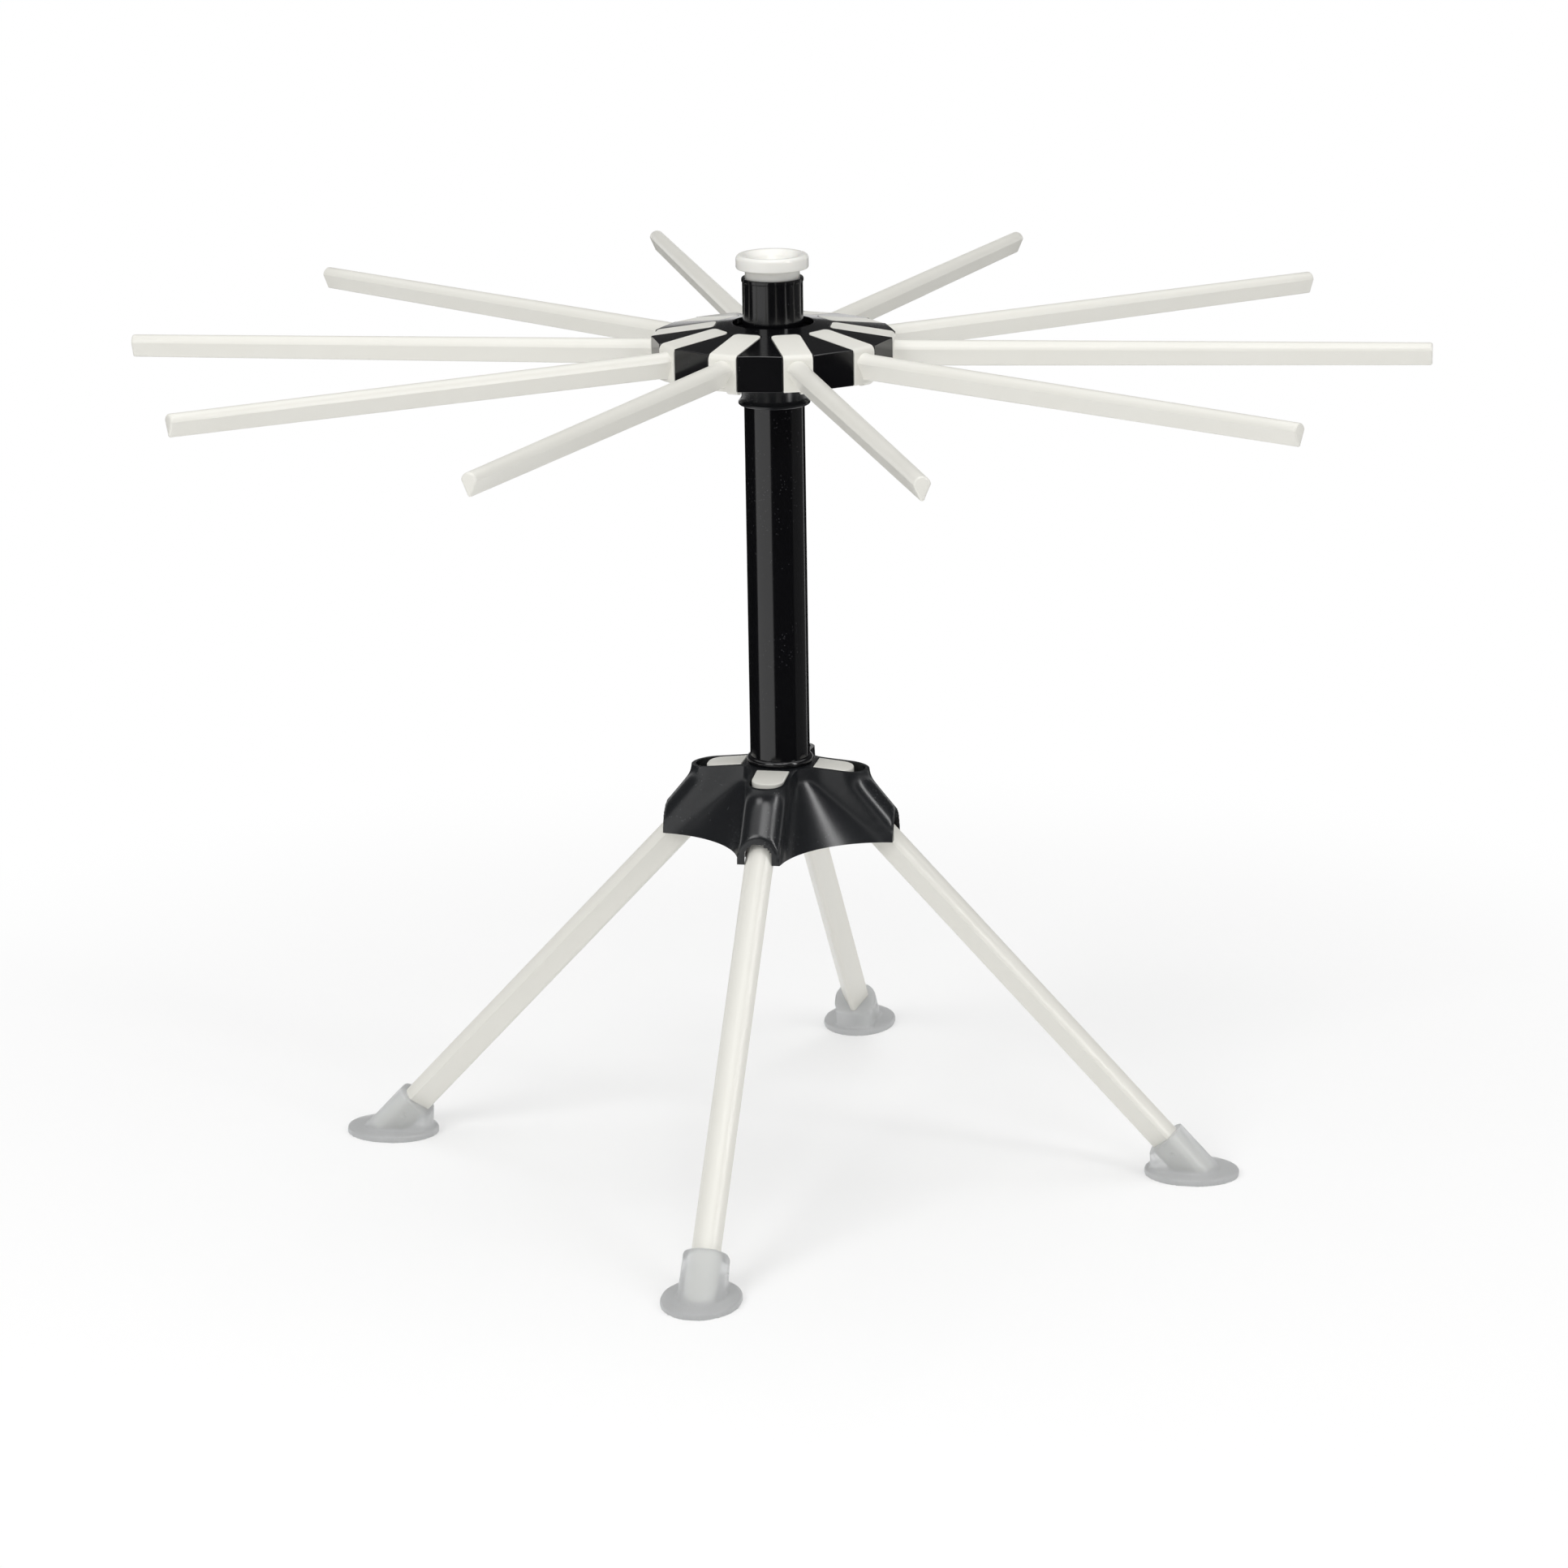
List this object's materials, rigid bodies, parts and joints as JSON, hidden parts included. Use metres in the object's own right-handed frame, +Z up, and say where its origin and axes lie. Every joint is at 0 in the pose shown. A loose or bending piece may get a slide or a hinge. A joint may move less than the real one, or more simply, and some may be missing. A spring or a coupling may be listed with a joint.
{
  "type": "pasta drying rack",
  "caption": "Folding pasta drying rack: hinged arms spread from a turning head on a tube, hinged legs with soft feet, and a lifting wand kept inside the tube.",
  "frame": {"origin": "on the table, under the tube's axis", "axes": "+Z up along the tube, +X out along one leg"},
  "size_m": [0.523, 0.5118, 0.3805],
  "materials": {
    "black_gloss": "gloss",
    "black_satin": "satin",
    "ivory": "semi-gloss",
    "white_gloss": "gloss",
    "clear_grey": "satin",
    "steel": "zinc-plated"
  },
  "bodies": {
    "stand": {"tube": "black_gloss", "tube_plug": "black_satin", "tube_screw": "steel", "hub_collar": "black_satin", "leg_hub": "black_satin", "leg_hub_base": "black_satin", "leg_hub_screws": "steel"},
    "arm_head": {"arm_hub": "black_gloss", "arm_hub_cover": "black_satin", "arm_hub_screws": "steel"},
    "arm_0": {"arm_0": "ivory"},
    "arm_1": {"arm_1": "ivory"},
    "arm_2": {"arm_2": "ivory"},
    "arm_3": {"arm_3": "ivory"},
    "arm_4": {"arm_4": "ivory"},
    "arm_5": {"arm_5": "ivory"},
    "arm_6": {"arm_6": "ivory"},
    "arm_7": {"arm_7": "ivory"},
    "arm_8": {"arm_8": "ivory"},
    "arm_9": {"arm_9": "ivory"},
    "leg_0": {"leg_0": "ivory", "foot_0": "clear_grey"},
    "leg_1": {"leg_1": "ivory", "foot_1": "clear_grey"},
    "leg_2": {"leg_2": "ivory", "foot_2": "clear_grey"},
    "leg_3": {"leg_3": "ivory", "foot_3": "clear_grey"},
    "wand": {"wand_knob": "white_gloss", "wand_rod": "white_gloss"}
  },
  "joints": [
    {"name": "arm_head_turn", "type": "hinge", "parent": "stand", "child": "arm_head", "pos_m": [0, 0, 0.334], "axis": [0, 0, 1], "continuous": true},
    {"name": "arm_0_fold", "type": "hinge", "parent": "arm_head", "child": "arm_0", "pos_m": [0.04484, 0.0038, 0.338], "axis": [-0.0845, 0.9964, 0], "range_deg": [0, 84]},
    {"name": "arm_1_fold", "type": "hinge", "parent": "arm_head", "child": "arm_1", "pos_m": [0.03404, 0.02943, 0.338], "axis": [-0.6541, 0.7564, 0], "range_deg": [0, 90]},
    {"name": "arm_2_fold", "type": "hinge", "parent": "arm_head", "child": "arm_2", "pos_m": [0.01024, 0.04382, 0.338], "axis": [-0.9738, 0.2275, 0], "range_deg": [0, 88]},
    {"name": "arm_3_fold", "type": "hinge", "parent": "arm_head", "child": "arm_3", "pos_m": [-0.01747, 0.04147, 0.338], "axis": [-0.9215, -0.3883, 0], "range_deg": [0, 90]},
    {"name": "arm_4_fold", "type": "hinge", "parent": "arm_head", "child": "arm_4", "pos_m": [-0.03851, 0.02328, 0.338], "axis": [-0.5173, -0.8558, 0], "range_deg": [0, 90]},
    {"name": "arm_5_fold", "type": "hinge", "parent": "arm_head", "child": "arm_5", "pos_m": [-0.04484, -0.0038, 0.338], "axis": [0.0845, -0.9964, 0], "range_deg": [0, 84]},
    {"name": "arm_6_fold", "type": "hinge", "parent": "arm_head", "child": "arm_6", "pos_m": [-0.03404, -0.02943, 0.338], "axis": [0.6541, -0.7564, 0], "range_deg": [0, 90]},
    {"name": "arm_7_fold", "type": "hinge", "parent": "arm_head", "child": "arm_7", "pos_m": [-0.01024, -0.04382, 0.338], "axis": [0.9738, -0.2275, 0], "range_deg": [0, 88]},
    {"name": "arm_8_fold", "type": "hinge", "parent": "arm_head", "child": "arm_8", "pos_m": [0.01747, -0.04147, 0.338], "axis": [0.9215, 0.3883, 0], "range_deg": [0, 90]},
    {"name": "arm_9_fold", "type": "hinge", "parent": "arm_head", "child": "arm_9", "pos_m": [0.03851, -0.02328, 0.338], "axis": [0.5173, 0.8558, 0], "range_deg": [0, 90]},
    {"name": "leg_0_fold", "type": "hinge", "parent": "stand", "child": "leg_0", "pos_m": [0.024, 0, 0.16073], "axis": [0, 1, 0], "range_deg": [0, 42.5]},
    {"name": "leg_1_fold", "type": "hinge", "parent": "stand", "child": "leg_1", "pos_m": [0, 0.024, 0.16073], "axis": [-1, 0, 0], "range_deg": [0, 42.5]},
    {"name": "leg_2_fold", "type": "hinge", "parent": "stand", "child": "leg_2", "pos_m": [-0.024, 0, 0.16073], "axis": [0, -1, 0], "range_deg": [0, 42.5]},
    {"name": "leg_3_fold", "type": "hinge", "parent": "stand", "child": "leg_3", "pos_m": [0, -0.024, 0.16073], "axis": [1, 0, 0], "range_deg": [0, 42.5]},
    {"name": "wand_slide", "type": "slide", "parent": "stand", "child": "wand", "axis": [0, 0, 1], "range_m": [0, 0.24]}
  ]
}
